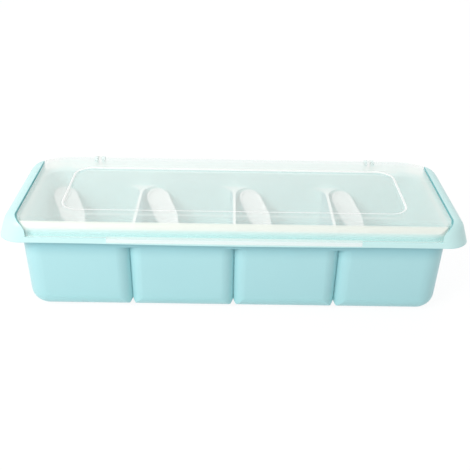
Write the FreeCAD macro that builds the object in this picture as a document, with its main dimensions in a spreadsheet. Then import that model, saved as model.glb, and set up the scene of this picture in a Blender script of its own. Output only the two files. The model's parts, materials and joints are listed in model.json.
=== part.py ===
import FreeCAD, Part
import math
import os

import Sketcher
from FreeCAD import Rotation, Vector

# Spice box: four pots in a row moulded as one base, a see-through hinged lid and four loose spoons.
# X runs along the row, Y from the front to the back, Z up.
# The sizes below measure Y from the pots' front face; each piece's Placement then puts the
# part's origin under the middle of its box.

POT_COUNT = 4
SIDES = (-1, 1)

# Driving sizes: alias, value in millimetres or degrees, what it is.
SIZES = [
    ("wall", 2.0, "wall of base and lid"),
    ("pot_pitch", 73.0, "from one divider to the next"),
    ("row_end", 1.36, "the row's ends beyond the last pitch, at the foot"),
    ("row_front", 1.2, "front face of the pots at their foot"),
    ("row_depth", 91.3, "depth of the pots at their foot"),
    ("draft", 1.146, "taper of every pot wall, degrees"),
    ("rim_level", 67.0, "top of the base's own walls"),
    ("divider_level", 55.3, "top of the dividers"),
    ("divider_half", 2.17, "half thickness of a divider at the floor"),
    ("pot_corner", 14.0, "upright corners of the row"),
    ("pot_foot", 12.0, "rounding under the row and in the notches"),
    ("notch_height", 6.6, "top of the notch between two pots"),
    ("groove_round", 10.0, "rounding of the pots into the groove between them"),
    ("groove_depth", 6.5, "groove between two pots"),
    ("groove_lead", 0.02, "the groove's rounding starts this far before the pots' face"),
    ("groove_level", 53.4, "top of the groove"),
    ("band_level", 58.3, "underside of the rim band and of the grips"),
    ("ledge_level", 62.6, "top of the front rim band"),
    ("band_proud", 1.1, "bow of the rim band in front of the lid"),
    ("band_bow", 4700.0, "radius of the bowed rim band"),
    ("cover_level", 75.0, "top of lid and grips"),
    ("cover_front", 3.5, "lid and grips stand this far before the pots"),
    ("back_shelf", 8.3, "lid and grips reach this far behind the pots' foot"),
    ("grip_reach", 14.3, "lower edge of a grip from the lid's end"),
    ("grip_top_reach", 8.3, "top of a grip from the lid's end"),
    ("cover_corner", 15.0, "front upright corners of the grips"),
    ("back_corner", 36.0, "back corners in plan"),
    ("shoulder", 8.0, "rounded shoulder of lid and grips"),
    ("lid_over", 0.84, "the lid's ends beyond the row's foot"),
    ("lid_corner", 12.0, "front corners of the lid in plan"),
    ("lid_gap", 1.2, "gap between lid and grips"),
    ("seat_gap", 0.2, "lid skirt above the rim it seats on"),
    ("panel_inset", 27.2, "sunk panel from the lid's ends"),
    ("panel_front", 14.8, "front edge of the sunk panel"),
    ("panel_depth", 67.3, "front to back of the sunk panel"),
    ("panel_sink", 1.2, "how far the panel lies below the top"),
    ("panel_corner", 12.0, "corners of the sunk panel"),
    ("panel_edge", 2.4, "width of the panel's sloping edge"),
    ("lip_half", 86.5, "half length of the thumb lip"),
    ("lip_level", 60.6, "underside of the thumb lip"),
    ("lip_proud", 2.8, "thumb lip in front of the lid's skirt"),
    ("lip_thick", 1.4, "thickness of the thumb lip"),
    ("hinge_place", 107.0, "middle of each hinge from the centre"),
    ("hinge_behind", 0.7, "hinge axis behind the lid's back face"),
    ("hinge_level", 72.5, "height of the hinge axis"),
    ("knuckle_radius", 3.0, "outside of knuckle and ears"),
    ("knuckle_length", 3.2, "lid's knuckle"),
    ("ear_thick", 1.8, "each ear of the base"),
    ("ear_gap", 0.25, "side gap between ear and lid"),
    ("pin_radius", 1.2, "hinge pin moulded on the knuckle"),
    ("pin_play", 0.07, "radial play of the pin in the ear"),
    ("notch_front", 5.0, "lid notch before the hinge axis"),
    ("spoon_length", 90.0, "whole spoon"),
    ("spoon_width", 18.4, "spoon's broad end"),
    ("spoon_paddle", 26.0, "length of the broad end"),
    ("spoon_neck", 34.0, "where the narrow stem begins"),
    ("stem_width", 13.4, "stem at the neck"),
    ("stem_end", 10.6, "stem where it meets the bowl"),
    ("stem_overlap", 4.0, "how far the stem runs into the bowl's rim"),
    ("spoon_thick", 2.2, "handle with its raised rim"),
    ("spoon_rim", 1.5, "width of the raised rim"),
    ("spoon_sink", 0.9, "floor of the handle below its rim"),
    ("tip_corner", 8.6, "rounding of the spoon's broad end"),
    ("neck_corner", 7.0, "rounding at the neck"),
    ("bowl_width", 28.0, "a spoon's round bowl across its rim"),
    ("bowl_depth", 8.0, "a spoon's bowl below its rim, outside"),
    ("bowl_wall", 1.5, "wall of a spoon's bowl"),
    ("spoon_tilt", 34.0, "slope of a spoon, degrees"),
    ("spoon_turn", 30.0, "a spoon's heading from straight forward, degrees"),
    ("spoon_aside", 27.6, "a spoon's upper end from the middle of its pot"),
    ("spoon_play", 0.3, "air between a spoon and what it lies on"),
]

# Sizes that follow from the driving ones, as expressions for the features.
ROW_HALF = "(%s * Sizes.pot_pitch + Sizes.row_end)" % (POT_COUNT / 2)
LID_HALF = "(%s + Sizes.lid_over)" % ROW_HALF
GRIP_LOW = "(%s + Sizes.grip_reach)" % LID_HALF
GRIP_TOP = "(%s + Sizes.grip_top_reach)" % LID_HALF
GRIP_LEAN = "((Sizes.grip_reach - Sizes.grip_top_reach) / (Sizes.cover_level - Sizes.band_level))"
COVER_BACK = "(Sizes.row_front + Sizes.row_depth + Sizes.back_shelf)"
PANEL_HALF = "(%s - Sizes.panel_inset)" % LID_HALF
HINGE_BACK = "(%s + Sizes.hinge_behind)" % COVER_BACK
HINGE_SPAN = "(Sizes.knuckle_length + 2 * Sizes.ear_thick + 2 * Sizes.ear_gap)"
PART_FRONT = "(Sizes.cover_front + Sizes.lip_proud)"
PART_BACK = "(%s + Sizes.knuckle_radius)" % HINGE_BACK
PART_MIDDLE = "((%s - %s) / 2)" % (PART_BACK, PART_FRONT)
BOWL_RADIUS = "((Sizes.bowl_width ^ 2 / 4 + Sizes.bowl_depth ^ 2) / (2 * Sizes.bowl_depth))"

# Lengths that only have to reach past a piece when it is cut, far or a little.
OVERRUN = 60.0
SHORT_OVERRUN = 0.5
BEHIND = "(%s + %s)" % (COVER_BACK, OVERRUN)
# Two heights or places nearer than this are the same; an edge taller than the second is upright.
NEAR = 0.01
UPRIGHT = 1.0
# Outlines start this large, before their dimensions are bound.
START = 50.0

doc = FreeCAD.newDocument("spice_box")
sheet = doc.addObject("Spreadsheet::Sheet", "Sizes")
for number, (alias, value, meaning) in enumerate(SIZES, 1):
    sheet.set("A%d" % number, meaning)
    sheet.set("B%d" % number, str(value))
    sheet.setAlias("B%d" % number, alias)
doc.recompute()


def size(alias):
    """Value of one cell of the sheet."""
    return float(sheet.get(alias))


def bind(feature, **expressions):
    """Bind properties of a feature; a double underscore stands for a dot."""
    for name, expression in expressions.items():
        feature.setExpression(name.replace("__", "."), expression)
    return feature


def origin_plane(body, role):
    """One of a body's own origin planes."""
    return [item for item in body.Origin.OriginFeatures if item.Role == role][0]


def new_sketch(body, name, role):
    """A sketch on one of the body's origin planes."""
    sketch = body.newObject("Sketcher::SketchObject", name)
    sketch.AttachmentSupport = [(origin_plane(body, role), "")]
    sketch.MapMode = "FlatFace"
    return sketch


def close_outline(sketch, points):
    """Join points by lines into one closed outline."""
    count = len(points)
    for index in range(count):
        line = Part.LineSegment(Vector(*points[index]), Vector(*points[(index + 1) % count]))
        sketch.addGeometry(line, False)
    for index in range(count):
        sketch.addConstraint(Sketcher.Constraint("Coincident", index, 2, (index + 1) % count, 1))


def dimension(sketch, kind, ends, start, expression):
    """A driven dimension between two points of a sketch, bound to the sheet."""
    place = sketch.addConstraint(Sketcher.Constraint(kind, *ends, start))
    sketch.setExpression("Constraints[%d]" % place, expression)


def edges_of(feature, test):
    """Names of the edges of a feature that pass a test."""
    edges = enumerate(feature.Shape.Edges, 1)
    return ["Edge%d" % number for number, edge in edges if test(edge)]


def walls_of(feature):
    """Names of the upright faces of a feature."""
    faces = enumerate(feature.Shape.Faces, 1)
    return ["Face%d" % number for number, face in faces if is_upright(face)]


def round_edges(body, feature, name, test, radius):
    """Round the edges of a body's last feature that pass a test."""
    fillet = body.newObject("PartDesign::Fillet", name)
    fillet.Base = (feature, edges_of(feature, test))
    bind(fillet, Radius=radius)
    doc.recompute()
    return fillet


def block(name, left, right, front, back, low, high):
    """A body padded up from a rectangle between two levels."""
    body = doc.addObject("PartDesign::Body", name)
    plan = new_sketch(body, name + "_plan", "XY_Plane")
    bind(plan, AttachmentOffset__Base__x="((%s) + (%s)) / 2 * 1 mm" % (left, right))
    bind(plan, AttachmentOffset__Base__y="((%s) + (%s)) / 2 * 1 mm" % (front, back))
    bind(plan, AttachmentOffset__Base__z="(%s) * 1 mm" % low)
    close_outline(plan, [(-START, -START, 0), (START, -START, 0), (START, START, 0), (-START, START, 0)])
    for kind, line in (("Horizontal", 0), ("Vertical", 1), ("Horizontal", 2), ("Vertical", 3)):
        plan.addConstraint(Sketcher.Constraint(kind, line))
    plan.addConstraint(Sketcher.Constraint("Symmetric", 0, 1, 1, 2, -1, 1))
    dimension(plan, "DistanceX", (0, 1, 0, 2), 2 * START, "(%s) - (%s)" % (right, left))
    dimension(plan, "DistanceY", (1, 1, 1, 2), 2 * START, "(%s) - (%s)" % (back, front))
    pad = body.newObject("PartDesign::Pad", name + "_pad")
    pad.Profile = plan
    bind(pad, Length="(%s) - (%s)" % (high, low))
    doc.recompute()
    return body, pad


def is_upright(item):
    """True for an edge or face that joins two levels."""
    lowest, highest = span(item, "z")
    return highest - lowest > UPRIGHT


def span(item, axis):
    """Lowest and highest coordinate of a shape's corners along an axis."""
    values = [getattr(corner.Point, axis) for corner in item.Vertexes]
    return min(values), max(values)


def joined(kind, name, base, tool):
    """A boolean of two objects."""
    feature = doc.addObject(kind, name)
    feature.Base = base
    feature.Tool = tool
    feature.Refine = True
    return feature


def cut_in_turn(name, base, tools):
    """Cut several objects from one, one after the other."""
    for number, tool in enumerate(tools, 1):
        base = joined("Part::Cut", "%s_%d" % (name, number), base, tool)
    return base


def fused(name, shapes):
    """One solid from several objects."""
    feature = doc.addObject("Part::MultiFuse", name)
    feature.Shapes = shapes
    feature.Refine = True
    return feature


def rounded_well(name, left, right, low, high, inset, corner, foot):
    """A block with round upright corners, walls that open upwards and, if asked, a round foot.

    Its outline is given at the level of the pots' foot."""
    front = "Sizes.row_front + (%s)" % inset
    back = "Sizes.row_front + Sizes.row_depth - (%s)" % inset
    body, pad = block(name, left, right, front, back, low, high)
    last = round_edges(body, pad, name + "_corners", is_upright, corner)
    draft = body.newObject("PartDesign::Draft", name + "_draft")
    draft.Base = (last, walls_of(last))
    draft.NeutralPlane = (origin_plane(body, "XY_Plane"), [""])
    draft.Reversed = True
    bind(draft, Angle="Sizes.draft")
    doc.recompute()
    if foot:
        floor = span(draft.Shape, "z")[0] + NEAR
        round_edges(body, draft, name + "_foot", lambda edge: span(edge, "z")[1] < floor, foot)
    return body


def cover_form(name, inset):
    """The outer form shared by lid and grips: flared ends, round front corners and shoulder."""
    body = doc.addObject("PartDesign::Body", name)
    view = new_sketch(body, name + "_view", "XZ_Plane")
    lean = "(%s) * sqrt(1 + %s ^ 2)" % (inset, GRIP_LEAN)
    low_half = "%s - %s" % (GRIP_LOW, lean)
    top_half = "%s + (%s) * %s - %s" % (GRIP_TOP, inset, GRIP_LEAN, lean)
    wide = 2 * START
    close_outline(view, [(-wide, START, 0), (wide, START, 0), (START, wide, 0), (-START, wide, 0)])
    view.addConstraint(Sketcher.Constraint("Symmetric", 0, 1, 0, 2, -2))
    view.addConstraint(Sketcher.Constraint("Symmetric", 2, 1, 2, 2, -2))
    dimension(view, "DistanceX", (0, 1, 0, 2), 2 * wide, "2 * (%s)" % low_half)
    dimension(view, "DistanceX", (2, 2, 2, 1), wide, "2 * (%s)" % top_half)
    dimension(view, "DistanceY", (-1, 1, 0, 1), START, "Sizes.band_level")
    dimension(view, "DistanceY", (-1, 1, 2, 1), wide, "Sizes.cover_level - (%s)" % inset)
    pad = body.newObject("PartDesign::Pad", name + "_pad")
    pad.Profile = view
    pad.Reversed = True
    bind(view, AttachmentOffset__Base__z="Sizes.cover_front * 1 mm - (%s) * 1 mm" % inset)
    bind(pad, Length="Sizes.cover_front + %s + %s" % (COVER_BACK, OVERRUN))
    doc.recompute()
    front = span(pad.Shape, "y")[0] + NEAR
    last = round_edges(
        body, pad, name + "_corners",
        lambda edge: is_upright(edge) and span(edge, "y")[1] < front,
        "Sizes.cover_corner - (%s)" % inset,
    )
    top = span(last.Shape, "z")[1] - NEAR
    back = span(last.Shape, "y")[1] - NEAR
    round_edges(
        body, last, name + "_shoulder",
        lambda edge: span(edge, "z")[0] > top and span(edge, "y")[0] < back,
        "Sizes.shoulder - (%s)" % inset,
    )
    return body


def back_trim(name, inset):
    """What the cover form keeps: cut straight at the back, with large corners there."""
    reach = "%s + %s - (%s)" % (GRIP_LOW, SHORT_OVERRUN, inset)
    front = "-Sizes.cover_front - %s" % OVERRUN
    back = "%s - (%s)" % (COVER_BACK, inset)
    body, pad = block(name, "-(%s)" % reach, reach, front, back, "0", "Sizes.cover_level + %s" % OVERRUN)
    rear = span(pad.Shape, "y")[1] - NEAR
    round_edges(
        body, pad, name + "_corners",
        lambda edge: is_upright(edge) and span(edge, "y")[0] > rear,
        "Sizes.back_corner - (%s)" % inset,
    )
    return body


def lid_plan(name, grow, low, high, back):
    """The lid's outline in plan, made larger or smaller, between two levels."""
    half = "%s + (%s)" % (LID_HALF, grow)
    front = "-Sizes.cover_front - (%s)" % grow
    body, pad = block(name, "-(%s)" % half, half, front, back, low, high)
    edge_line = span(pad.Shape, "y")[0] + NEAR
    round_edges(
        body, pad, name + "_corners",
        lambda edge: is_upright(edge) and span(edge, "y")[1] < edge_line,
        "Sizes.lid_corner + (%s)" % grow,
    )
    return body


def box(name, left, right, front, back, low, high):
    """A plain box from six bounds."""
    feature = doc.addObject("Part::Box", name)
    bind(feature, Length="(%s) - (%s)" % (right, left))
    bind(feature, Width="(%s) - (%s)" % (back, front))
    bind(feature, Height="(%s) - (%s)" % (high, low))
    bind(feature, Placement__Base__x="(%s) * 1 mm" % left)
    bind(feature, Placement__Base__y="(%s) * 1 mm" % front)
    bind(feature, Placement__Base__z="(%s) * 1 mm" % low)
    return feature


def rod(name, radius, length, middle):
    """A cylinder along X on the hinge axis."""
    feature = doc.addObject("Part::Cylinder", name)
    feature.Placement.Rotation = Rotation(Vector(0, 1, 0), 90)
    bind(feature, Radius=radius, Height=length)
    bind(feature, Placement__Base__x="((%s) - (%s) / 2) * 1 mm" % (middle, length))
    bind(feature, Placement__Base__y="%s * 1 mm" % HINGE_BACK)
    bind(feature, Placement__Base__z="Sizes.hinge_level * 1 mm")
    return feature


def divider_place(number):
    """X of the middle of a divider, counted from the left."""
    return "(%s * Sizes.pot_pitch)" % (number - POT_COUNT / 2)


def cusp(name, plane, radius, depth, length):
    """A prism between two arcs that leave one face smoothly and meet in a sharp line below it."""
    body = doc.addObject("PartDesign::Body", name)
    view = new_sketch(body, name + "_view", plane)
    bend = size(radius)
    deep = size(depth)
    reach = math.sqrt(bend ** 2 - (bend - deep) ** 2)
    for side in SIDES:
        centre = Vector(side * reach, bend, 0)
        at_foot = -math.pi / 2
        at_apex = math.atan2(deep - bend, -side * reach)
        angles = (at_apex, at_foot) if side > 0 else (at_foot, at_apex)
        circle = Part.Circle(centre, Vector(0, 0, 1), bend)
        view.addGeometry(Part.ArcOfCircle(circle, *angles), False)
    view.addGeometry(Part.LineSegment(Vector(-reach, 0, 0), Vector(reach, 0, 0)), False)
    view.addConstraint(Sketcher.Constraint("Coincident", 0, 1, 2, 1))
    view.addConstraint(Sketcher.Constraint("Coincident", 1, 2, 2, 2))
    view.addConstraint(Sketcher.Constraint("Coincident", 0, 2, 1, 1))
    view.addConstraint(Sketcher.Constraint("PointOnObject", 0, 2, -2))
    view.addConstraint(Sketcher.Constraint("Symmetric", 2, 1, 2, 2, -1, 1))
    view.addConstraint(Sketcher.Constraint("Vertical", 0, 3, 0, 1))
    view.addConstraint(Sketcher.Constraint("Vertical", 1, 3, 1, 2))
    for arc in (0, 1):
        place = view.addConstraint(Sketcher.Constraint("Radius", arc, bend))
        view.setExpression("Constraints[%d]" % place, "Sizes." + radius)
    dimension(view, "DistanceY", (-1, 1, 0, 2), deep, "Sizes." + depth)
    pad = body.newObject("PartDesign::Pad", name + "_pad")
    pad.Profile = view
    bind(pad, Length=length)
    return body, view, pad


def notch(number):
    """The gap between the round feet of two pots, right through from front to back."""
    length = "Sizes.row_depth + 2 * %s" % OVERRUN
    body, view, pad = cusp("notch_%d" % number, "XZ_Plane", "pot_foot", "notch_height", length)
    pad.Reversed = True
    bind(view, AttachmentOffset__Base__x="%s * 1 mm" % divider_place(number))
    bind(view, AttachmentOffset__Base__z="%s * 1 mm" % OVERRUN)
    doc.recompute()
    return body


def grooves(number):
    """The upright grooves between two round-cornered pots, in the front face and in the back face.

    The front one leans with the pots' face, and the back one is its mirror image."""
    name = "groove_%d" % number
    front = cusp(name + "_front", "XY_Plane", "groove_round", "groove_depth", "Sizes.groove_level")[0]
    front.Placement.Rotation = Rotation(Vector(1, 0, 0), size("draft"))
    bind(front, Placement__Rotation__Angle="Sizes.draft * 1 deg")
    bind(front, Placement__Base__x="%s * 1 mm" % divider_place(number))
    bind(front, Placement__Base__y="(Sizes.row_front - Sizes.groove_lead) * 1 mm")
    back = doc.addObject("Part::Mirroring", name + "_back")
    back.Source = front
    back.Normal = Vector(0, 1, 0)
    bind(back, Base__y="(Sizes.row_front + Sizes.row_depth / 2) * 1 mm")
    doc.recompute()
    return [front, back]


def hinge_ear(name, middle):
    """One ear of the base: a round eye on a foot that grows out of the back ledge."""
    half = "Sizes.ear_thick / 2"
    eye = rod(name + "_eye", "Sizes.knuckle_radius", "Sizes.ear_thick", middle)
    foot = box(
        name + "_foot", "%s - %s" % (middle, half), "%s + %s" % (middle, half),
        "%s - Sizes.knuckle_radius" % HINGE_BACK, PART_BACK,
        "Sizes.rim_level - Sizes.wall", "Sizes.hinge_level",
    )
    return [eye, foot]


def make_base():
    """The base: row of pots, rim band, hollow grips, back ledge and hinge ears."""
    row = rounded_well("pot_row", "-" + ROW_HALF, ROW_HALF, "0", "Sizes.rim_level", "0",
                       "Sizes.pot_corner", "Sizes.pot_foot")
    cuts = []
    for number in range(1, POT_COUNT):
        cuts.append(notch(number))
        cuts += grooves(number)
    for number in range(POT_COUNT):
        left = "%s + Sizes.divider_half" % divider_place(number)
        right = "%s - Sizes.divider_half" % divider_place(number + 1)
        if number == 0:
            left = "-%s + Sizes.wall" % ROW_HALF
        if number == POT_COUNT - 1:
            right = "%s - Sizes.wall" % ROW_HALF
        cuts.append(rounded_well("pot_%d" % (number + 1), left, right, "Sizes.wall",
                                 "Sizes.rim_level + Sizes.wall", "Sizes.wall",
                                 "Sizes.pot_corner - Sizes.wall", "Sizes.pot_foot - Sizes.wall"))
    cuts.append(rounded_well("opening", "-%s + Sizes.wall" % ROW_HALF, "%s - Sizes.wall" % ROW_HALF,
                             "Sizes.divider_level", "Sizes.rim_level + Sizes.wall", "Sizes.wall",
                             "Sizes.pot_corner - Sizes.wall", None))

    form = joined("Part::Common", "grip_form", cover_form("grip_shell", "0"), back_trim("grip_trim", "0"))
    room = lid_plan("lid_room", "Sizes.lid_gap", "Sizes.rim_level", "Sizes.cover_level + Sizes.wall",
                    BEHIND)
    front_room = lid_plan("lid_front_room", "Sizes.lid_gap", "Sizes.ledge_level", "Sizes.cover_level + Sizes.wall",
                          "Sizes.pot_corner + Sizes.wall")
    inner = joined("Part::Common", "grip_hollow_form", cover_form("grip_inside", "Sizes.wall"),
                   back_trim("grip_inside_trim", "Sizes.wall"))
    ledge = lid_plan("ledge_block", "Sizes.lid_gap + Sizes.wall", "Sizes.rim_level - Sizes.wall",
                     "Sizes.cover_level + Sizes.wall", BEHIND)
    front_bar = box("front_bar", "-" + ROW_HALF, ROW_HALF, "-%s" % OVERRUN,
                    "Sizes.pot_corner", "0", "Sizes.cover_level")
    hollow = joined("Part::Cut", "grip_hollow", inner, fused("hollow_keep", [ledge, front_bar]))
    upper = joined("Part::Cut", "grips", form, fused("upper_cut", [room, front_room, hollow]))

    band_block = box("band_block", "-" + LID_HALF, LID_HALF,
                     "-Sizes.cover_front - 2 * Sizes.band_proud", "Sizes.wall",
                     "Sizes.band_level", "Sizes.ledge_level")
    bow = doc.addObject("Part::Cylinder", "band_bow_form")
    bind(bow, Radius="Sizes.band_bow", Height="Sizes.cover_level")
    bind(bow, Placement__Base__y="(Sizes.band_bow - Sizes.cover_front - Sizes.band_proud) * 1 mm")
    band = joined("Part::Common", "rim_band", band_block, bow)

    solids = [row, upper, band]
    holes = []
    ear_offset = "(Sizes.knuckle_length / 2 + Sizes.ear_gap + Sizes.ear_thick / 2)"
    for place, side in enumerate(SIDES):
        for ear, edge in enumerate(SIDES):
            name = "ear_%d_%d" % (place + 1, ear + 1)
            middle = "(%d * Sizes.hinge_place + %d * %s)" % (side, edge, ear_offset)
            solids += hinge_ear(name, middle)
            holes.append(rod(name + "_hole", "Sizes.pin_radius + Sizes.pin_play",
                             "Sizes.ear_thick + Sizes.ear_gap", middle))
    return cut_in_turn("base_form", fused("base_solid", solids), cuts + holes)


def make_lid():
    """The lid: a shell with a sunk panel, front skirt, thumb lip, knuckles and pins."""
    form = joined("Part::Common", "lid_block", cover_form("lid_cover", "0"), back_trim("lid_trim", "0"))
    plan = lid_plan("lid_outline", "0", "Sizes.ledge_level + Sizes.seat_gap", "Sizes.cover_level + Sizes.wall",
                    BEHIND)
    outer = joined("Part::Common", "lid_outer", form, plan)

    inner_form = joined("Part::Common", "lid_inner_block", cover_form("lid_inside", "Sizes.wall"),
                        back_trim("lid_inside_trim", "Sizes.wall"))
    inner_plan = lid_plan("lid_inside_outline", "-Sizes.wall", "0", "Sizes.cover_level",
                          BEHIND)
    inner = joined("Part::Common", "lid_inner", inner_form, inner_plan)
    step = box("lid_step", "-" + GRIP_LOW, GRIP_LOW,
               "-Sizes.cover_front + Sizes.wall + %s" % SHORT_OVERRUN, BEHIND,
               "0", "Sizes.rim_level + Sizes.seat_gap")

    panel = sunk_panel()
    under, _ = panel_block("panel_under", "Sizes.wall", "Sizes.cover_level - Sizes.panel_sink - Sizes.wall",
                           "Sizes.cover_level - Sizes.wall + %s" % SHORT_OVERRUN)
    hollow = joined("Part::Cut", "lid_hollow", inner, under)
    cuts = [hollow, step, panel]
    solids = []
    for place, side in enumerate(SIDES):
        middle = "(%d * Sizes.hinge_place)" % side
        half = "(%s / 2 + Sizes.ear_gap)" % HINGE_SPAN
        cuts.append(box("hinge_notch_%d" % (place + 1), "%s - %s" % (middle, half),
                        "%s + %s" % (middle, half), "%s - Sizes.notch_front" % HINGE_BACK,
                        BEHIND, "0", "Sizes.cover_level + Sizes.wall"))
        solids.append(rod("knuckle_%d" % (place + 1), "Sizes.knuckle_radius", "Sizes.knuckle_length", middle))
        solids.append(rod("pin_%d" % (place + 1), "Sizes.pin_radius", HINGE_SPAN, middle))
        solids.append(box("finger_%d" % (place + 1), "%s - Sizes.knuckle_length / 2" % middle,
                          "%s + Sizes.knuckle_length / 2" % middle,
                          "%s - Sizes.notch_front - Sizes.wall" % HINGE_BACK, HINGE_BACK,
                          "Sizes.hinge_level - Sizes.knuckle_radius", "Sizes.cover_level"))
    shell = cut_in_turn("lid_shell", outer, cuts)

    lip_front = "-Sizes.cover_front - Sizes.lip_proud"
    lip_shelf = box("lip_shelf", "-Sizes.lip_half", "Sizes.lip_half", lip_front,
                    "-Sizes.cover_front + Sizes.wall / 2", "Sizes.ledge_level + Sizes.seat_gap",
                    "Sizes.ledge_level + Sizes.seat_gap + Sizes.lip_thick")
    lip_drop = box("lip_drop", "-Sizes.lip_half", "Sizes.lip_half", lip_front,
                   "%s + Sizes.lip_thick" % lip_front, "Sizes.lip_level",
                   "Sizes.ledge_level + Sizes.seat_gap + Sizes.lip_thick")
    return fused("lid_form", [shell, lip_shelf, lip_drop] + solids)


def panel_block(name, grow, low, high):
    """A block of the sunk panel's outline, made larger by grow, between two levels."""
    half = "(%s + (%s))" % (PANEL_HALF, grow)
    front = "Sizes.panel_front - (%s)" % grow
    back = "Sizes.panel_front + Sizes.panel_depth + (%s)" % grow
    body, pad = block(name, "-" + half, half, front, back, low, high)
    last = round_edges(body, pad, name + "_corners", is_upright, "Sizes.panel_corner + (%s)" % grow)
    return body, last


def sunk_panel():
    """What the sunk panel takes out of the lid: its edges lean outwards as they rise."""
    body, last = panel_block("panel", "0", "Sizes.cover_level - Sizes.panel_sink",
                             "Sizes.cover_level + Sizes.wall")
    floor = span(last.Shape, "z")[0] + NEAR
    edge = body.newObject("PartDesign::Chamfer", "panel_edge")
    edge.Base = (last, edges_of(last, lambda line: span(line, "z")[1] < floor))
    edge.ChamferType = "Two distances"
    bind(edge, Size="Sizes.panel_sink", Size2="Sizes.panel_edge")
    doc.recompute()
    return body


def spoon_handle(name, inset, low, high):
    """A spoon's handle: broad end, neck and tapering stem, padded between two levels."""
    body = doc.addObject("PartDesign::Body", name)
    plan = new_sketch(body, name + "_plan", "XY_Plane")
    bind(plan, AttachmentOffset__Base__z="(%s) * 1 mm" % low)
    stations = [
        ("%s" % inset, "Sizes.spoon_width / 2 - (%s)" % inset),
        ("Sizes.spoon_paddle", "Sizes.spoon_width / 2 - (%s)" % inset),
        ("Sizes.spoon_neck", "Sizes.stem_width / 2 - (%s)" % inset),
        ("Sizes.spoon_length - Sizes.bowl_width + Sizes.stem_overlap", "Sizes.stem_end / 2 - (%s)" % inset),
    ]
    count = len(stations)
    along = [index * START for index in range(count)]
    right = [(place, -START, 0) for place in along]
    left = [(place, START, 0) for place in reversed(along)]
    close_outline(plan, right + left)
    last = 2 * count - 1
    for index, (station, half) in enumerate(stations):
        plan.addConstraint(Sketcher.Constraint("Symmetric", index, 1, last - index, 1, -1))
        dimension(plan, "DistanceX", (-1, 1, index, 1), along[index], station)
        dimension(plan, "DistanceY", (index, 1, last - index, 1), 2 * START, "2 * (%s)" % half)
    pad = body.newObject("PartDesign::Pad", name + "_pad")
    pad.Profile = plan
    bind(pad, Length="(%s) - (%s)" % (high, low))
    doc.recompute()
    start, end = span(pad.Shape, "x")
    tip = round_edges(body, pad, name + "_tip",
                      lambda edge: is_upright(edge) and span(edge, "x")[1] < start + NEAR,
                      "Sizes.tip_corner - (%s)" % inset)
    shoulders = (size("spoon_paddle") - NEAR, end - NEAR)
    round_edges(body, tip, name + "_neck",
                lambda edge: is_upright(edge) and shoulders[0] < span(edge, "x")[0] < shoulders[1],
                "Sizes.neck_corner")
    return body


def ball(name, inset):
    """The ball that a spoon's bowl is a part of, made smaller by inset."""
    feature = doc.addObject("Part::Sphere", name)
    bind(feature, Radius="%s - (%s)" % (BOWL_RADIUS, inset))
    bind(feature, Placement__Base__x="(Sizes.spoon_length - Sizes.bowl_width / 2) * 1 mm")
    bind(feature, Placement__Base__z="(Sizes.spoon_thick - Sizes.bowl_depth + %s) * 1 mm" % BOWL_RADIUS)
    return feature


def make_spoon(number):
    """A spoon, lying from the back of its pot down to the floor near the front."""
    name = "spoon_%d" % number
    handle = spoon_handle(name + "_handle", "0", "0", "Sizes.spoon_thick")
    sunk = spoon_handle(name + "_sunk", "Sizes.spoon_rim", "Sizes.spoon_thick - Sizes.spoon_sink",
                        "Sizes.spoon_thick + Sizes.spoon_rim")
    bowl = ball(name + "_bowl", "0")
    bind(bowl, Angle2="asin((Sizes.bowl_depth - %s) / %s)" % (BOWL_RADIUS, BOWL_RADIUS))
    solid = fused(name + "_solid", [handle, bowl])
    spoon = cut_in_turn(name + "_form", solid, [sunk, ball(name + "_bowl_inside", "Sizes.bowl_wall")])

    tilt = math.radians(size("spoon_tilt"))
    turn = math.radians(size("spoon_turn"))
    depth = size("bowl_depth")
    half_bowl = size("bowl_width") / 2
    bend = (half_bowl ** 2 + depth ** 2) / (2 * depth)
    drop = bend - (bend - depth) * math.cos(tilt)
    reach = size("spoon_length") - half_bowl
    thick = size("spoon_thick")
    level = size("wall") + size("spoon_play") + drop + reach * math.sin(tilt) - thick * math.cos(tilt)
    slope = math.tan(math.radians(size("draft")))
    back = size("row_front") + size("row_depth") - size("wall") + level * slope
    middle = (number - 1 - (POT_COUNT - 1) / 2) * size("pot_pitch")
    forward = math.cos(turn) * math.cos(tilt)
    round_end = size("spoon_width") / 2 * (math.hypot(forward, math.sin(turn)) - forward)
    place = Vector(middle - size("spoon_aside"), back - size("spoon_play") - round_end, level)
    heading = Rotation(Vector(0, 0, 1), size("spoon_turn") - 90)
    spoon.Placement = FreeCAD.Placement(place, heading * Rotation(Vector(0, 1, 0), size("spoon_tilt")))
    return spoon


def node(label, feature):
    """Give a finished piece its name and its place about the part's origin."""
    piece = doc.addObject("Part::Compound", label)
    piece.Links = [feature]
    piece.Label = label
    bind(piece, Placement__Base__y="-%s * 1 mm" % PART_MIDDLE)
    return piece


pieces = [node("base", make_base()), node("lid", make_lid())]
for spoon_number in range(1, POT_COUNT + 1):
    pieces.append(node("spoon_%d" % spoon_number, make_spoon(spoon_number)))
doc.recompute()

failed = [item.Name for item in doc.Objects if "Invalid" in item.State or "Error" in item.State]
if failed:
    raise RuntimeError("not built: " + ", ".join(failed))
for piece in pieces:
    if piece.Shape.isNull() or not piece.Shape.isValid() or len(piece.Shape.Solids) != 1:
        raise RuntimeError("%s is not one valid solid" % piece.Label)

os.makedirs("parts", exist_ok=True)
for piece in pieces:
    piece.Shape.Solids[0].exportStep("parts/%s.step" % piece.Label)
    print(piece.Label, round(piece.Shape.Volume), piece.Shape.BoundBox)
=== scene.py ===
"""Looks of a plastic spice box: light-blue pots, a frosted lid and four white spoons."""

import json
import logging
import math
from dataclasses import dataclass, field
from enum import Enum

import bpy
from mathutils import Matrix, Vector

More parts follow.
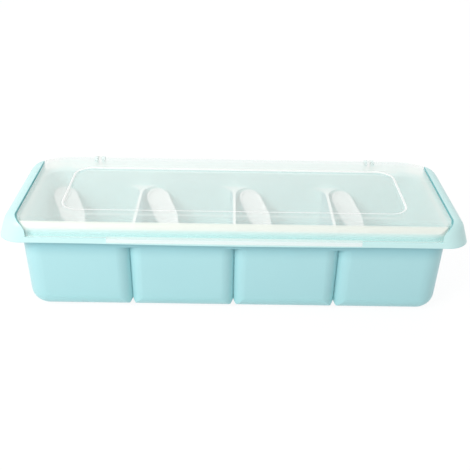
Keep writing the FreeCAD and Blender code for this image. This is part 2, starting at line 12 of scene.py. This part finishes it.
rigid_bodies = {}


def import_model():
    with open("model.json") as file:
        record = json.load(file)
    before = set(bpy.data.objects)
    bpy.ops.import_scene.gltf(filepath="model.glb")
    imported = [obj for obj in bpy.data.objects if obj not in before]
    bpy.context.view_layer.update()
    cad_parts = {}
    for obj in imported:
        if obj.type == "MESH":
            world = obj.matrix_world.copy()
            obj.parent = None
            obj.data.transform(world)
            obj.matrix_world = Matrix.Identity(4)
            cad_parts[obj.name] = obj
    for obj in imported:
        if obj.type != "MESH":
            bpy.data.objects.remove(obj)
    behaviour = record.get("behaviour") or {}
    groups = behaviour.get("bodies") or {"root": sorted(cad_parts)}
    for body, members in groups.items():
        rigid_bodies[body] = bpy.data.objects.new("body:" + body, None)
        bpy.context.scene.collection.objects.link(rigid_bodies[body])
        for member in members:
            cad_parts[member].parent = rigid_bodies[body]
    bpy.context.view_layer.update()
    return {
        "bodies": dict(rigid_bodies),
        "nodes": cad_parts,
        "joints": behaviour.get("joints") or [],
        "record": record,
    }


log = logging.getLogger("spice_box")

PHOTO_PIXELS = 470
FLOW_DETAIL = 2.0
GRAIN_DETAIL = 3.0
LEAST_HANDLED = -0.04
MOST_HANDLED = 0.06


class Gloss(Enum):
    """How polished the mould of a piece was."""

    POLISHED = 0.2
    SATIN = 0.34
    FROSTED = 0.42


Colour = tuple[float, float, float]


@dataclass(frozen=True)
class PlasticFinish:
    """One moulded plastic, as the shader needs it.

    Colours are linear red, green and blue; lengths are metres.
    """

    name: str
    colour: Colour
    deep_colour: Colour
    gloss: Gloss
    grain_size: float
    grain_depth: float
    flow_size: float
    ior: float = 1.49
    sheen: float = 0.0
    sheen_roughness: float = 0.3
    veil: float = 1.0
    veil_at_edge: float = 1.0
    veil_at_bend: float = 1.0
    veil_to_light: float = 1.0
    veil_turn: float = 0.35


BASE_BLUE = PlasticFinish(
    name="light_blue_plastic",
    colour=(0.43, 0.72, 0.745),
    deep_colour=(0.4, 0.695, 0.73),
    gloss=Gloss.SATIN,
    grain_size=0.0006,
    grain_depth=0.00001,
    flow_size=0.05,
    sheen=0.12,
)
FROSTED_CLEAR = PlasticFinish(
    name="frosted_clear_plastic",
    colour=(0.95, 0.98, 0.94),
    deep_colour=(0.93, 0.96, 0.92),
    gloss=Gloss.FROSTED,
    grain_size=0.0004,
    grain_depth=0.000008,
    flow_size=0.08,
    veil=0.25,
    veil_at_edge=0.45,
    veil_at_bend=0.92,
    veil_to_light=0.15,
)
SPOON_WHITE = PlasticFinish(
    name="white_plastic",
    colour=(0.97, 0.975, 0.97),
    deep_colour=(0.95, 0.965, 0.965),
    gloss=Gloss.POLISHED,
    grain_size=0.0008,
    grain_depth=0.000006,
    flow_size=0.02,
)


def maths(
    tree: bpy.types.NodeTree, operation: str, *values: object, clamp: bool = False
) -> bpy.types.NodeSocket:
    """Add one maths node.

    Args:
        tree: the node tree to add it to.
        operation: Blender's name of the operation.
        values: a number or a socket for each input.
        clamp: whether the result is kept between 0 and 1.

    Returns:
        The result's socket.
    """
    node = tree.nodes.new("ShaderNodeMath")
    node.operation = operation
    node.use_clamp = clamp
    for place, value in enumerate(values):
        if isinstance(value, bpy.types.NodeSocket):
            tree.links.new(value, node.inputs[place])
        else:
            node.inputs[place].default_value = value
    return node.outputs[0]


def eased(
    tree: bpy.types.NodeTree, value: bpy.types.NodeSocket, start: float, end: float
) -> bpy.types.NodeSocket:
    """Ease a value from 0 at start to 1 at end.

    Args:
        tree: the node tree to build in.
        value: the socket to read.
        start: where the result is 0.
        end: where the result is 1.

    Returns:
        The eased value's socket.
    """
    node = tree.nodes.new("ShaderNodeMapRange")
    node.interpolation_type = "SMOOTHSTEP"
    node.inputs["From Min"].default_value = start
    node.inputs["From Max"].default_value = end
    tree.links.new(value, node.inputs["Value"])
    return node.outputs["Result"]


def point_axis(tree: bpy.types.NodeTree, axis: str, kind: str = "Object") -> bpy.types.NodeSocket:
    """One axis of the point, or of the normal, in the piece's own frame.

    Args:
        tree: the node tree to build in.
        axis: X, Y or Z.
        kind: Object for the point, Normal for the normal.

    Returns:
        The axis' socket.
    """
    place = tree.nodes.new("ShaderNodeTexCoord")
    axes = tree.nodes.new("ShaderNodeSeparateXYZ")
    tree.links.new(place.outputs[kind], axes.inputs[0])
    return axes.outputs[axis]


def object_noise(
    tree: bpy.types.NodeTree, size: bpy.types.NodeSocket, detail: float
) -> bpy.types.NodeSocket:
    """Add a noise that lies in the piece's own frame.

    Args:
        tree: the node tree to add it to.
        size: the socket with the size of its marks, in metres.
        detail: how many finer layers it has.

    Returns:
        The noise's value.
    """
    place = tree.nodes.new("ShaderNodeTexCoord")
    texture = tree.nodes.new("ShaderNodeTexNoise")
    texture.inputs["Detail"].default_value = detail
    tree.links.new(place.outputs["Object"], texture.inputs["Vector"])
    tree.links.new(maths(tree, "DIVIDE", 1.0, size), texture.inputs["Scale"])
    return texture.outputs["Fac"]


def moulded_group() -> bpy.types.NodeTree:
    """Build the node group of moulded plastic, or return it if it is there.

    Returns:
        A shader node group: colour with slow flow shading, roughness with fine
        handling marks, and the height of the mould's grain.
    """
    name = "moulded_plastic"
    if name in bpy.data.node_groups:
        return bpy.data.node_groups[name]
    tree = bpy.data.node_groups.new(name, "ShaderNodeTree")
    for label, kind in (("Colour", "NodeSocketColor"), ("Deep Colour", "NodeSocketColor"),
                        ("Roughness", "NodeSocketFloat"), ("Grain Size", "NodeSocketFloat"),
                        ("Flow Size", "NodeSocketFloat")):
        tree.interface.new_socket(name=label, in_out="INPUT", socket_type=kind)
    for label, kind in (("Colour", "NodeSocketColor"), ("Roughness", "NodeSocketFloat"),
                        ("Height", "NodeSocketFloat")):
        tree.interface.new_socket(name=label, in_out="OUTPUT", socket_type=kind)
    source = tree.nodes.new("NodeGroupInput").outputs
    sink = tree.nodes.new("NodeGroupOutput").inputs

    flow = object_noise(tree, source["Flow Size"], FLOW_DETAIL)
    mix = tree.nodes.new("ShaderNodeMix")
    mix.data_type = "RGBA"
    tree.links.new(flow, mix.inputs["Factor"])
    tree.links.new(source["Colour"], mix.inputs["A"])
    tree.links.new(source["Deep Colour"], mix.inputs["B"])
    tree.links.new(mix.outputs["Result"], sink["Colour"])

    tree.links.new(object_noise(tree, source["Grain Size"], GRAIN_DETAIL), sink["Height"])

    handled = tree.nodes.new("ShaderNodeMapRange")
    handled.inputs["To Min"].default_value = LEAST_HANDLED
    handled.inputs["To Max"].default_value = MOST_HANDLED
    tree.links.new(flow, handled.inputs["Value"])
    rough = maths(tree, "ADD", source["Roughness"], handled.outputs["Result"])
    tree.links.new(rough, sink["Roughness"])
    return tree


def outline_group() -> bpy.types.NodeTree:
    """Build the node group of a round-cornered outline, or return it if it is there.

    Returns:
        A shader node group that gives the distance from a rounded rectangle that
        lies flat about X = 0: below 0 inside it, above 0 outside it.
    """
    name = "rounded_outline"
    if name in bpy.data.node_groups:
        return bpy.data.node_groups[name]
    tree = bpy.data.node_groups.new(name, "ShaderNodeTree")
    for label in ("Half Length", "Half Depth", "Corner", "Middle"):
        tree.interface.new_socket(name=label, in_out="INPUT", socket_type="NodeSocketFloat")
    tree.interface.new_socket(name="Distance", in_out="OUTPUT", socket_type="NodeSocketFloat")
    source = tree.nodes.new("NodeGroupInput").outputs
    sink = tree.nodes.new("NodeGroupOutput").inputs
    place = tree.nodes.new("ShaderNodeTexCoord")
    axes = tree.nodes.new("ShaderNodeSeparateXYZ")
    tree.links.new(place.outputs["Object"], axes.inputs[0])
    across = maths(tree, "SUBTRACT", axes.outputs["Y"], source["Middle"])
    beyond = []
    for value, half in ((axes.outputs["X"], "Half Length"), (across, "Half Depth")):
        straight = maths(tree, "SUBTRACT", source[half], source["Corner"])
        beyond.append(maths(tree, "SUBTRACT", maths(tree, "ABSOLUTE", value), straight))
    squares = [maths(tree, "POWER", maths(tree, "MAXIMUM", value, 0.0), 2.0) for value in beyond]
    outside = maths(tree, "SQRT", maths(tree, "ADD", *squares))
    inside = maths(tree, "MINIMUM", maths(tree, "MAXIMUM", *beyond), 0.0)
    tree.links.new(
        maths(tree, "SUBTRACT", maths(tree, "ADD", outside, inside), source["Corner"]), sink["Distance"]
    )
    return tree


def off_outline(
    tree: bpy.types.NodeTree, half_length: float, half_depth: float, corner: float, middle: float
) -> bpy.types.NodeSocket:
    """How far the point lies from a round-cornered outline, on either side of it.

    Args:
        tree: the node tree to build in.
        half_length: half of the outline's length along X.
        half_depth: half of its depth along Y.
        corner: the radius of its corners.
        middle: the Y of its middle.

    Returns:
        The distance's socket.
    """
    outline = tree.nodes.new("ShaderNodeGroup")
    outline.node_tree = outline_group()
    outline.inputs["Half Length"].default_value = half_length
    outline.inputs["Half Depth"].default_value = half_depth
    outline.inputs["Corner"].default_value = corner
    outline.inputs["Middle"].default_value = middle
    return maths(tree, "ABSOLUTE", outline.outputs["Distance"])


@dataclass
class PlasticMaterial:
    """A material that is being built for one moulded plastic."""

    finish: PlasticFinish
    material: bpy.types.Material = field(init=False)
    tree: bpy.types.NodeTree = field(init=False)
    shader: bpy.types.ShaderNode = field(init=False)
    colour: bpy.types.NodeSocket = field(init=False)

    def __post_init__(self) -> None:
        """Start the material with its grain, colour and gloss."""
        finish = self.finish
        self.material = bpy.data.materials.new(finish.name)
        self.material.use_nodes = True
        self.tree = self.material.node_tree
        self.shader = self.tree.nodes["Principled BSDF"]
        self.shader.inputs["IOR"].default_value = finish.ior
        self.shader.inputs["Sheen Weight"].default_value = finish.sheen
        self.shader.inputs["Sheen Roughness"].default_value = finish.sheen_roughness
        look = self.tree.nodes.new("ShaderNodeGroup")
        look.node_tree = moulded_group()
        look.inputs["Colour"].default_value = (*finish.colour, 1.0)
        look.inputs["Deep Colour"].default_value = (*finish.deep_colour, 1.0)
        look.inputs["Roughness"].default_value = finish.gloss.value
        look.inputs["Grain Size"].default_value = finish.grain_size
        look.inputs["Flow Size"].default_value = finish.flow_size
        self.colour = look.outputs["Colour"]
        self.tree.links.new(look.outputs["Roughness"], self.shader.inputs["Roughness"])
        bump = self.tree.nodes.new("ShaderNodeBump")
        bump.inputs["Distance"].default_value = finish.grain_depth
        self.tree.links.new(look.outputs["Height"], bump.inputs["Height"])
        self.tree.links.new(bump.outputs["Normal"], self.shader.inputs["Normal"])

    def tint(self, mask: bpy.types.NodeSocket, colour: Colour) -> None:
        """Colour the plastic where a mask is 1.

        Args:
            mask: a value between 0 and 1 over the surface.
            colour: the colour there.
        """
        mix = self.tree.nodes.new("ShaderNodeMix")
        mix.data_type = "RGBA"
        self.tree.links.new(mask, mix.inputs["Factor"])
        self.tree.links.new(self.colour, mix.inputs["A"])
        mix.inputs["B"].default_value = (*colour, 1.0)
        self.colour = mix.outputs["Result"]

    def see_through(self, highlit: bpy.types.NodeSocket) -> None:
        """Let the plastic be seen through, less so at grazing angles and under the painted highlights.

        Light that only passes through to what lies behind loses little.

        Args:
            highlit: a mask of the places that look solid.
        """
        finish, tree = self.finish, self.tree
        facing = tree.nodes.new("ShaderNodeLayerWeight")
        facing.inputs["Blend"].default_value = finish.veil_turn
        gain = finish.veil_at_edge - finish.veil
        veil = maths(tree, "MULTIPLY_ADD", facing.outputs["Facing"], gain, finish.veil)
        room = maths(tree, "SUBTRACT", finish.veil_at_bend, veil)
        # Less see-through under the painted highlights.
        veil = maths(tree, "MULTIPLY_ADD", highlit, room, veil)
        path = tree.nodes.new("ShaderNodeLightPath")
        light = maths(tree, "MAXIMUM", path.outputs["Is Shadow Ray"], path.outputs["Is Diffuse Ray"])
        kept = maths(tree, "MULTIPLY_ADD", light, finish.veil_to_light - 1.0, 1.0)
        tree.links.new(maths(tree, "MULTIPLY", veil, kept), self.shader.inputs["Alpha"])

    def done(self) -> bpy.types.Material:
        """Connect the colour and give back the material."""
        self.tree.links.new(self.colour, self.shader.inputs["Base Color"])
        return self.material


def dress(node: bpy.types.Object, material: bpy.types.Material) -> None:
    """Give a CAD node one material.

    Args:
        node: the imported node's object.
        material: the material that it shows.
    """
    node.data.materials.clear()
    node.data.materials.append(material)
    log.info("dressed %s in %s", node.name, material.name)


@dataclass
class PotBase:
    """The light-blue base with its four pots, grips and hinge ears. Lengths are metres."""

    node: str = "base"
    finish: PlasticFinish = BASE_BLUE
    # Painted highlight on the dividers' tops.
    crest_highlight_colour: Colour = (0.9, 0.95, 0.94)
    crest_level: float = 0.0553
    crest_half: float = 0.0006
    crest_upward: float = 0.5
    # Painted shade: darker towards the foot of the pots.
    foot_shade_colour: Colour = (0.4, 0.71, 0.735)
    foot_shade_levels: tuple[float, float] = (0.02, 0.002)
    # Painted shadow under the rim.
    rim_shadow_colour: Colour = (0.29, 0.57, 0.62)
    rim_shadow_levels: tuple[float, float] = (0.044, 0.0565)
    # Painted light on the thin rim and grips.
    thin_wall_light_colour: Colour = (0.6, 0.86, 0.85)
    thin_wall_light_levels: tuple[float, float] = (0.0575, 0.059)
    # Painted light inside the pots.
    inner_light_colour: Colour = (0.56, 0.84, 0.83)
    inner_top: float = 0.0625
    floor_top: float = 0.02
    floor_upward: float = 0.3
    facing_in: float = 0.02
    facing_in_at_ends: float = 0.1
    # Painted light on the hinge ears.
    ear_light_colour: Colour = (0.8, 0.91, 0.89)
    ear_start: tuple[float, float, float] = (0.13, 0.0475, 0.0655)
    # Painted shade in the gap between the grips and the lid.
    gap_shade_colour: Colour = (0.22, 0.55, 0.57)
    gap_shade_half: float = 0.1494
    gap_shade_front: float = 0.0538
    gap_shade_corner: float = 0.0132
    gap_shade_reach: float = 0.5
    gap_shade_blur: float = 0.0003
    gap_shade_levels: tuple[float, float] = (0.0705, 0.072)

    def build(self, frame: dict) -> None:
        """Dress the base's node, with painted light and shade: painted shade towards the foot, under
        the rim and in the gap by the lid; painted light inside the pots, on the hinge ears and where
        thin walls let light through; a painted highlight on the dividers' tops.
        """
        plastic = PlasticMaterial(self.finish)
        tree = plastic.tree
        level = point_axis(tree, "Z")
        # Painted shade: the walls turn darker and deeper blue towards the foot.
        plastic.tint(eased(tree, level, *self.foot_shade_levels), self.foot_shade_colour)
        # Painted shadow under the rim: darker from partway up the walls to the top.
        plastic.tint(eased(tree, level, *self.rim_shadow_levels), self.rim_shadow_colour)
        # Painted light: the pots' inner walls and floors are paler, as if lit through the thin walls.
        plastic.tint(self.lit_inner_faces(tree), self.inner_light_colour)
        # Painted light: the rim band and grips are painted paler, as if lit through their thin walls.
        plastic.tint(eased(tree, level, *self.thin_wall_light_levels), self.thin_wall_light_colour)
        # Painted light: the hinge ears are painted paler than the walls.
        plastic.tint(self.ears(tree), self.ear_light_colour)
        # Painted highlight: the dividers' upward-facing tops are painted near white.
        plastic.tint(self.crest_highlights(tree), self.crest_highlight_colour)
        # Painted shade: dark blue on the grips' walls in the narrow gap by the lid.
        plastic.tint(self.gap_shade(tree), self.gap_shade_colour)
        dress(frame["nodes"][self.node], plastic.done())

    def crest_highlights(self, tree: bpy.types.NodeTree) -> bpy.types.NodeSocket:
        """The top edges of the dividers between the pots, where a painted highlight lies on the faces
        that look up.

        Args:
            tree: the base material's node tree.

        Returns:
            A mask that is 1 on the edges.
        """
        level = point_axis(tree, "Z")
        off_crest = maths(tree, "ABSOLUTE", maths(tree, "SUBTRACT", level, self.crest_level))
        on_crest = maths(tree, "LESS_THAN", off_crest, self.crest_half)
        upward = maths(tree, "GREATER_THAN", point_axis(tree, "Z", "Normal"), self.crest_upward)
        return maths(tree, "MULTIPLY", on_crest, upward)

    def lit_inner_faces(self, tree: bpy.types.NodeTree) -> bpy.types.NodeSocket:
        """The inside of the pots, painted paler: painted light that stands in for light reaching in
        through the thin walls.

        Args:
            tree: the base material's node tree.

        Returns:
            A mask that is 1 on the walls that face inwards and on the pots' floors.
        """
        level = point_axis(tree, "Z")
        outward = maths(tree, "MULTIPLY", point_axis(tree, "Y"), point_axis(tree, "Y", "Normal"))
        endward = maths(tree, "MULTIPLY", point_axis(tree, "X"), point_axis(tree, "X", "Normal"))
        side = maths(tree, "LESS_THAN", outward, -self.facing_in)
        end = maths(tree, "LESS_THAN", endward, -self.facing_in_at_ends)
        wall = maths(tree, "MAXIMUM", side, end)
        low = maths(tree, "LESS_THAN", level, self.floor_top)
        upward = maths(tree, "GREATER_THAN", point_axis(tree, "Z", "Normal"), self.floor_upward)
        floor = maths(tree, "MULTIPLY", low, upward)
        below = maths(tree, "LESS_THAN", level, self.inner_top)
        return maths(tree, "MULTIPLY", below, maths(tree, "MAXIMUM", wall, floor))

    def ears(self, tree: bpy.types.NodeTree) -> bpy.types.NodeSocket:
        """The small hinge ears, which look paler than the walls: painted light on the same plastic.

        Args:
            tree: the base material's node tree.

        Returns:
            A mask that is 1 on the ears.
        """
        side, back, low = self.ear_start
        between = maths(tree, "LESS_THAN", maths(tree, "ABSOLUTE", point_axis(tree, "X")), side)
        behind = maths(tree, "GREATER_THAN", point_axis(tree, "Y"), back)
        above = maths(tree, "GREATER_THAN", point_axis(tree, "Z"), low)
        return maths(tree, "MULTIPLY", between, maths(tree, "MULTIPLY", behind, above))

    def gap_shade(self, tree: bpy.types.NodeTree) -> bpy.types.NodeSocket:
        """The top of the grips' walls that face the lid, where little light gets in: painted shade.

        Args:
            tree: the base material's node tree.

        Returns:
            A mask that is 1 in the gap.
        """
        middle = self.gap_shade_reach - self.gap_shade_front
        away = off_outline(tree, self.gap_shade_half, self.gap_shade_reach, self.gap_shade_corner, middle)
        on_wall = maths(tree, "LESS_THAN", away, self.gap_shade_blur)
        high = eased(tree, point_axis(tree, "Z"), *self.gap_shade_levels)
        return maths(tree, "MULTIPLY", on_wall, high)


@dataclass
class FrostedLid:
    """The see-through lid with its sunk panel, thumb lip and knuckles. Lengths are metres."""

    node: str = "lid"
    finish: PlasticFinish = FROSTED_CLEAR
    panel_half: float = 0.121
    panel_half_depth: float = 0.03365
    panel_middle: float = -0.00065
    panel_corner: float = 0.012
    # Painted highlight round the sunk panel.
    panel_highlight_width: float = 0.0015
    panel_highlight_colour: Colour = (0.98, 0.99, 0.97)
    panel_highlight_blur: float = 0.0003
    outer_level: float = 0.0734
    # Painted highlight on the front shoulder.
    bend_highlight_colour: Colour = (0.84, 0.88, 0.81)
    bend_forward: tuple[float, float] = (0.54, 0.62)
    bend_levels: tuple[float, float] = (0.0653, 0.0725)
    bend_reach: float = 0.04
    # Painted see-through light: the blue base seen through the skirt.
    skirt_show_through_colour: Colour = (0.62, 0.88, 0.86)
    skirt_forward: tuple[float, float] = (0.9, 0.98)
    # Painted highlight on the thumb lip.
    lip_highlight_colour: Colour = (0.82, 0.9, 0.89)
    lip_front: float = 0.0552
    lip_low: tuple[float, float] = (0.0606, 0.0609)
    lip_high: tuple[float, float] = (0.0641, 0.0637)

    def panel_highlight(self, tree: bpy.types.NodeTree) -> bpy.types.NodeSocket:
        """The painted highlight round the sunk panel, where its step would catch the light.

        Args:
            tree: the lid material's node tree.

        Returns:
            A mask that is 1 on the highlight.
        """
        away = off_outline(
            tree, self.panel_half, self.panel_half_depth, self.panel_corner, self.panel_middle
        )
        half = self.panel_highlight_width / 2
        off_highlight = eased(tree, away, half - self.panel_highlight_blur, half + self.panel_highlight_blur)
        outer = maths(tree, "GREATER_THAN", point_axis(tree, "Z"), self.outer_level)
        return maths(tree, "MULTIPLY", maths(tree, "SUBTRACT", 1.0, off_highlight), outer)

    def forward(self, tree: bpy.types.NodeTree) -> bpy.types.NodeSocket:
        """How far the surface faces the front, from 1 there to -1 at the back."""
        return maths(tree, "MULTIPLY", point_axis(tree, "Y", "Normal"), -1.0)

    def front_bend_highlight(self, tree: bpy.types.NodeTree) -> bpy.types.NodeSocket:
        """The front shoulder with a painted highlight, where it faces up and forward to the light; it
        fades out down the skirt.

        Args:
            tree: the lid material's node tree.

        Returns:
            A mask that is 1 on the bend.
        """
        bent = eased(tree, self.forward(tree), *self.bend_forward)
        front = maths(tree, "LESS_THAN", point_axis(tree, "Y"), -self.bend_reach)
        high = eased(tree, point_axis(tree, "Z"), *self.bend_levels)
        return maths(tree, "MULTIPLY", maths(tree, "MULTIPLY", bent, front), high)

    def lip_highlight(self, tree: bpy.types.NodeTree) -> bpy.types.NodeSocket:
        """The front face of the thumb lip, without its edges, where a painted highlight lies.

        Args:
            tree: the lid material's node tree.

        Returns:
            A mask that is 1 on the face.
        """
        level = point_axis(tree, "Z")
        face = maths(tree, "LESS_THAN", point_axis(tree, "Y"), -self.lip_front)
        above = eased(tree, level, *self.lip_low)
        below = eased(tree, level, *self.lip_high)
        return maths(tree, "MULTIPLY", face, maths(tree, "MULTIPLY", above, below))

    def build(self, frame: dict) -> None:
        """Dress the lid's node.
        """
        plastic = PlasticMaterial(self.finish)
        tree = plastic.tree
        line = self.panel_highlight(tree)
        bend = self.front_bend_highlight(tree)
        lip = self.lip_highlight(tree)
        # Painted light: the front-facing skirt is tinted blue, standing in for the blue base seen
        # through it.
        plastic.tint(eased(tree, self.forward(tree), *self.skirt_forward), self.skirt_show_through_colour)
        # Painted highlight: cream on the front shoulder, which also makes the lid less see-through
        # there.
        plastic.tint(bend, self.bend_highlight_colour)
        # Painted highlight: a pale line round the sunk panel, which also makes the lid less see-through
        # there.
        plastic.tint(line, self.panel_highlight_colour)
        # Painted highlight: pale on the thumb lip's front face, which also makes the lid less
        # see-through there.
        plastic.tint(lip, self.lip_highlight_colour)
        # The painted highlights of the line, the shoulder and the lip are also less see-through.
        plastic.see_through(maths(tree, "MAXIMUM", line, maths(tree, "MAXIMUM", bend, lip)))
        dress(frame["nodes"][self.node], plastic.done())


@dataclass
class SpoonSet:
    """The four loose spoons, one in each pot."""

    count: int = 4
    finish: PlasticFinish = SPOON_WHITE

    def build(self, frame: dict) -> None:
        """Dress each spoon's node with the same white plastic.
        """
        material = PlasticMaterial(self.finish).done()
        for number in range(1, self.count + 1):
            dress(frame["nodes"][f"spoon_{number}"], material)


@dataclass
class PhotoCamera:
    """The camera where the photograph's camera stood, in metres and degrees."""

    place: tuple[float, float, float] = (-0.00417, -0.45897, 0.30716)
    pitch_down: float = 30.60
    yaw_right: float = 0.63
    roll: float = 1.18
    focal_pixels: float = 700.0
    sensor_mm: float = 36.0
    near_clip: float = 0.01

    def build(self) -> None:
        """Put up the camera and make it the scene's own."""
        pitch = math.radians(self.pitch_down)
        yaw = math.radians(self.yaw_right)
        roll = math.radians(self.roll)
        level = math.cos(pitch)
        ahead = Vector((math.sin(yaw) * level, math.cos(yaw) * level, -math.sin(pitch)))
        right = Vector((math.cos(yaw), -math.sin(yaw), 0.0))
        down = ahead.cross(right)
        image_right = right * math.cos(roll) - down * math.sin(roll)
        image_down = right * math.sin(roll) + down * math.cos(roll)
        turn = Matrix((image_right, -image_down, -ahead)).transposed()
        data = bpy.data.cameras.new("photo_camera")
        data.sensor_width = self.sensor_mm
        data.sensor_fit = "HORIZONTAL"
        data.lens = self.focal_pixels * self.sensor_mm / PHOTO_PIXELS
        data.clip_start = self.near_clip
        camera = bpy.data.objects.new("photo_camera", data)
        camera.matrix_world = Matrix.Translation(Vector(self.place)) @ turn.to_4x4()
        bpy.context.scene.collection.objects.link(camera)
        bpy.context.scene.camera = camera
        log.info("camera at %s", tuple(self.place))


@dataclass
class SoftLamp:
    """One large soft lamp of the studio."""

    name: str
    place: tuple[float, float, float]
    size: float
    power: float
    aim: tuple[float, float, float] = (0.0, 0.0, 0.05)

    def build(self) -> None:
        """Hang the lamp and point it at the box."""
        data = bpy.data.lights.new(self.name, "AREA")
        data.shape = "DISK"
        data.size = self.size
        data.energy = self.power
        lamp = bpy.data.objects.new(self.name, data)
        lamp.location = self.place
        ahead = Vector(self.aim) - Vector(self.place)
        lamp.rotation_euler = ahead.to_track_quat("-Z", "Y").to_euler()
        bpy.context.scene.collection.objects.link(lamp)


@dataclass
class Studio:
    """Pale floor, white surround and soft lamps."""

    floor_half: float = 6.0
    floor_colour: Colour = (0.92, 0.92, 0.92)
    floor_roughness: float = 0.9
    floor_specular: float = 0.1
    floor_glow: float = 0.88
    glow_level: float = 1.04
    ambient: float = 0.595
    lamps: tuple[SoftLamp, ...] = (
        SoftLamp("key_lamp", (-0.6, -0.6, 0.62), 0.5, 5.4),
        SoftLamp("back_lamp", (0.2, 1.0, 1.5), 1.2, 6.0),
    )

    def build(self) -> None:
        """Lay the floor, set the world and hang the lamps."""
        self.lay_floor()
        self.set_world()
        for lamp in self.lamps:
            lamp.build()
        log.info("studio with %d lamps", len(self.lamps))

    def seen_white(self, tree: bpy.types.NodeTree) -> bpy.types.NodeSocket:
        """A factor of 1 for rays that should find plain white.

        Args:
            tree: the node tree to build in.

        Returns:
            The socket with camera, glossy and transmitted rays added and clamped.
        """
        rays = tree.nodes.new("ShaderNodeLightPath").outputs
        seen = maths(tree, "ADD", rays["Is Camera Ray"], rays["Is Glossy Ray"])
        return maths(tree, "ADD", seen, rays["Is Transmission Ray"], clamp=True)

    def lay_floor(self) -> None:
        """A large pale floor that looks near white and keeps the box's shadow."""
        half = self.floor_half
        mesh = bpy.data.meshes.new("floor")
        edge = [(-half, -half, 0), (half, -half, 0), (half, half, 0), (-half, half, 0)]
        mesh.from_pydata(edge, [], [(0, 1, 2, 3)])
        floor = bpy.data.objects.new("floor", mesh)
        bpy.context.scene.collection.objects.link(floor)
        material = bpy.data.materials.new("pale_floor")
        material.use_nodes = True
        tree = material.node_tree
        shader = tree.nodes["Principled BSDF"]
        shader.inputs["Base Color"].default_value = (*self.floor_colour, 1.0)
        shader.inputs["Roughness"].default_value = self.floor_roughness
        shader.inputs["Specular IOR Level"].default_value = self.floor_specular
        glow = tree.nodes.new("ShaderNodeEmission")
        glow.inputs["Strength"].default_value = self.glow_level
        mix = tree.nodes.new("ShaderNodeMixShader")
        share = maths(tree, "MULTIPLY", self.seen_white(tree), self.floor_glow)
        tree.links.new(share, mix.inputs["Fac"])
        tree.links.new(shader.outputs[0], mix.inputs[1])
        tree.links.new(glow.outputs[0], mix.inputs[2])
        tree.links.new(mix.outputs[0], tree.nodes["Material Output"].inputs["Surface"])
        mesh.materials.append(material)

    def set_world(self) -> None:
        """A soft even surround that the camera sees as white."""
        world = bpy.data.worlds.new("studio")
        bpy.context.scene.world = world
        world.use_nodes = True
        tree = world.node_tree
        background = tree.nodes["Background"]
        background.inputs["Color"].default_value = (1.0, 1.0, 1.0, 1.0)
        level = tree.nodes.new("ShaderNodeMapRange")
        level.inputs["To Min"].default_value = self.ambient
        level.inputs["To Max"].default_value = 1.0
        tree.links.new(self.seen_white(tree), level.inputs["Value"])
        tree.links.new(level.outputs["Result"], background.inputs["Strength"])


def main() -> None:
    """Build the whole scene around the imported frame."""
    logging.basicConfig(level=logging.INFO, format="%(message)s")
    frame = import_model()
    bpy.context.scene.view_settings.view_transform = "Standard"
    PhotoCamera().build()
    Studio().build()
    PotBase().build(frame)
    FrostedLid().build(frame)
    SpoonSet().build(frame)


if __name__ == "__main__":
    main()
